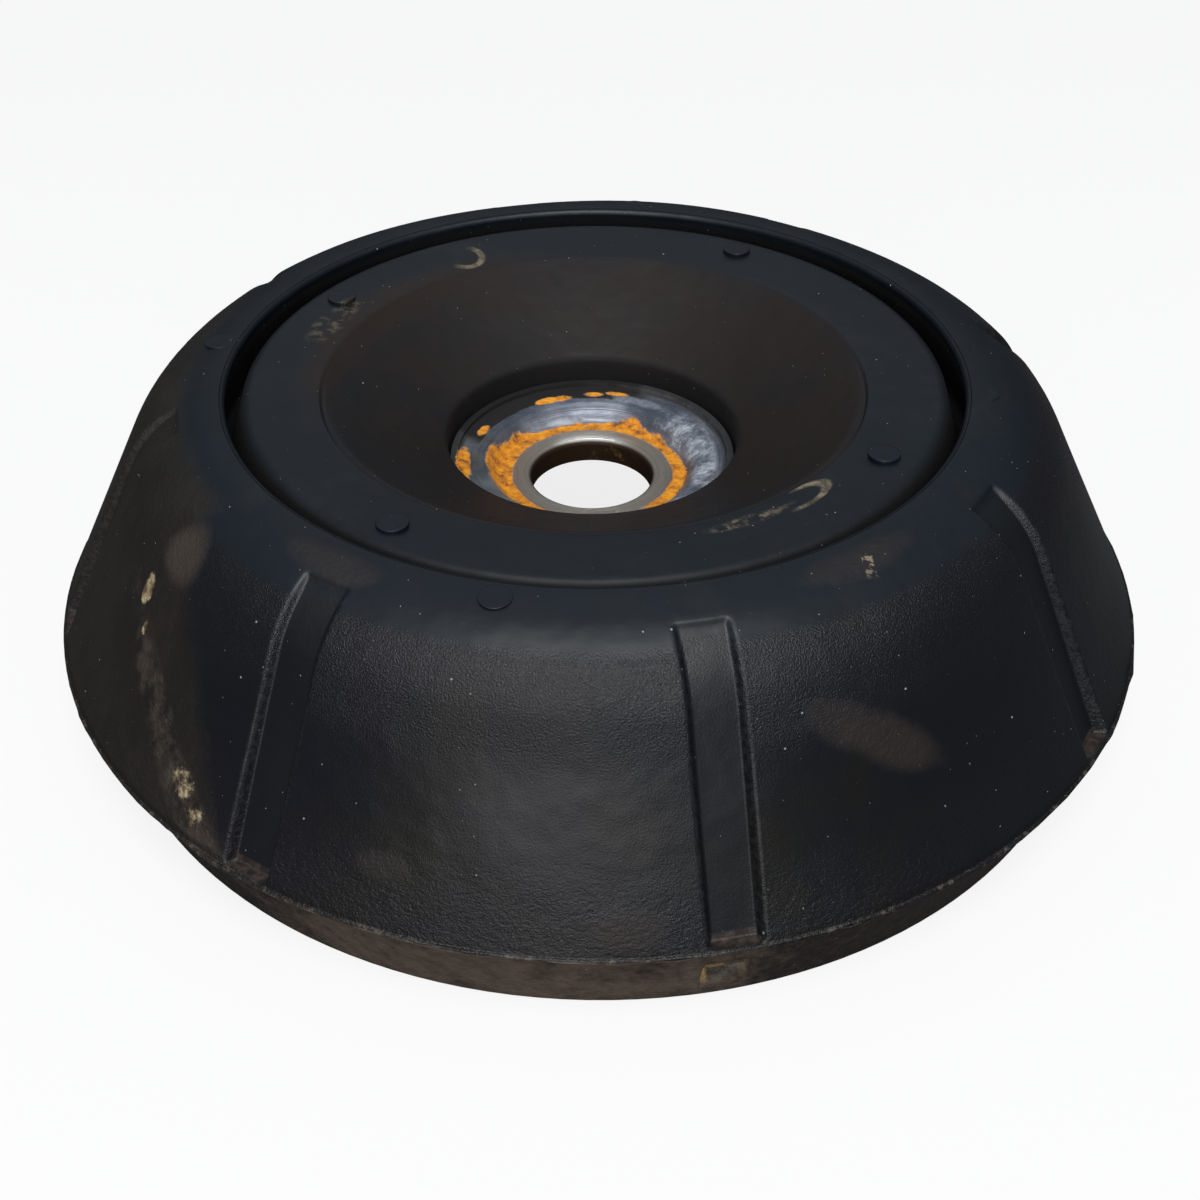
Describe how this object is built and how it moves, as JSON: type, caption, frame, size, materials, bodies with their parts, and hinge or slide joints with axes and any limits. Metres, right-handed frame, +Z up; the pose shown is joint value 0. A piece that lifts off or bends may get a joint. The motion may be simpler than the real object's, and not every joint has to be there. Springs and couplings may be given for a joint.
{
  "type": "strut top mount",
  "caption": "Round rubber-to-metal strut top mount: a conical grooved rubber skirt on a bonded steel ring, and a dished disc with a steel seat bored for the strut rod",
  "frame": {"origin": "centre of the foot's underside, on the plane the mount stands on", "axes": "+Z up along the axis of the bore, out of the dished side; the foot's small bare window faces close to -Y"},
  "size_m": [0.13, 0.13, 0.039],
  "materials": {
    "moulded_rubber": "matt, dusty, worn moulding",
    "ring_steel": "dull coated pressing with ochre rust",
    "plate_steel": "dull black coated pressing",
    "plated_seat": "grey plating, corroded white and orange round the hole"
  },
  "bodies": {
    "root": {"rubber_body": "moulded_rubber", "outer_ring": "ring_steel", "inner_plate": "plate_steel", "strut_seat": "plated_seat"}
  },
  "joints": []
}
